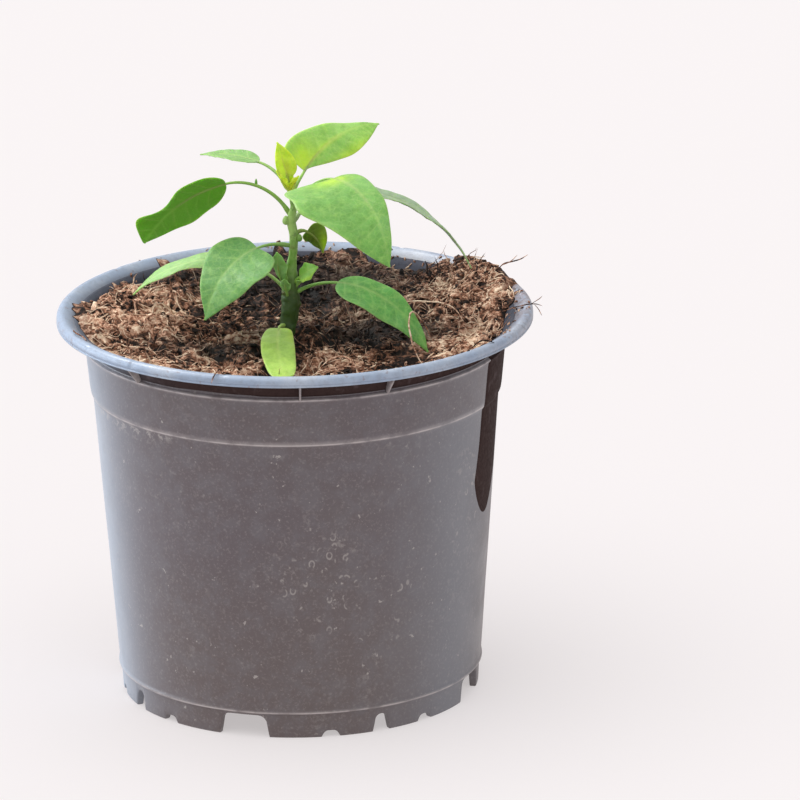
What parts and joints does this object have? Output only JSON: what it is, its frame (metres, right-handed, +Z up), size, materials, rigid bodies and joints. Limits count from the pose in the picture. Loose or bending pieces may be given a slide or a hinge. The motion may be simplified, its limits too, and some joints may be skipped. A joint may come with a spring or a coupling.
{
  "type": "potted chilli pepper plant",
  "caption": "Young chilli pepper plant with pointed, drooping leaves in a round nursery pot filled with coarse, fibrous soil.",
  "frame": {"origin": "middle of the pot's foot, on the surface that it stands on", "axes": "+Z up along the pot's axis, -Y towards the side from which the seed leaf is seen in front of the stem, +X to the right of it"},
  "size_m": [0.13, 0.13, 0.1542],
  "materials": {
    "pot_plastic": "satin",
    "soil": "matte",
    "stem": "satin",
    "leaf": "satin",
    "young_leaf": "satin"
  },
  "bodies": {
    "root": {"pot": "pot_plastic", "soil": "soil", "stem": "stem", "leaf_upper_left": "leaf", "leaf_left": "leaf", "leaf_top": "leaf", "leaf_front_right": "leaf", "leaf_right_long": "leaf", "leaf_front_left": "leaf", "leaf_back_left": "leaf", "leaf_low_right": "leaf", "leaf_small_right": "leaf", "leaf_young": "young_leaf", "leaf_axil_right": "young_leaf", "leaf_axil_left": "young_leaf", "seed_leaf": "young_leaf"}
  },
  "joints": []
}
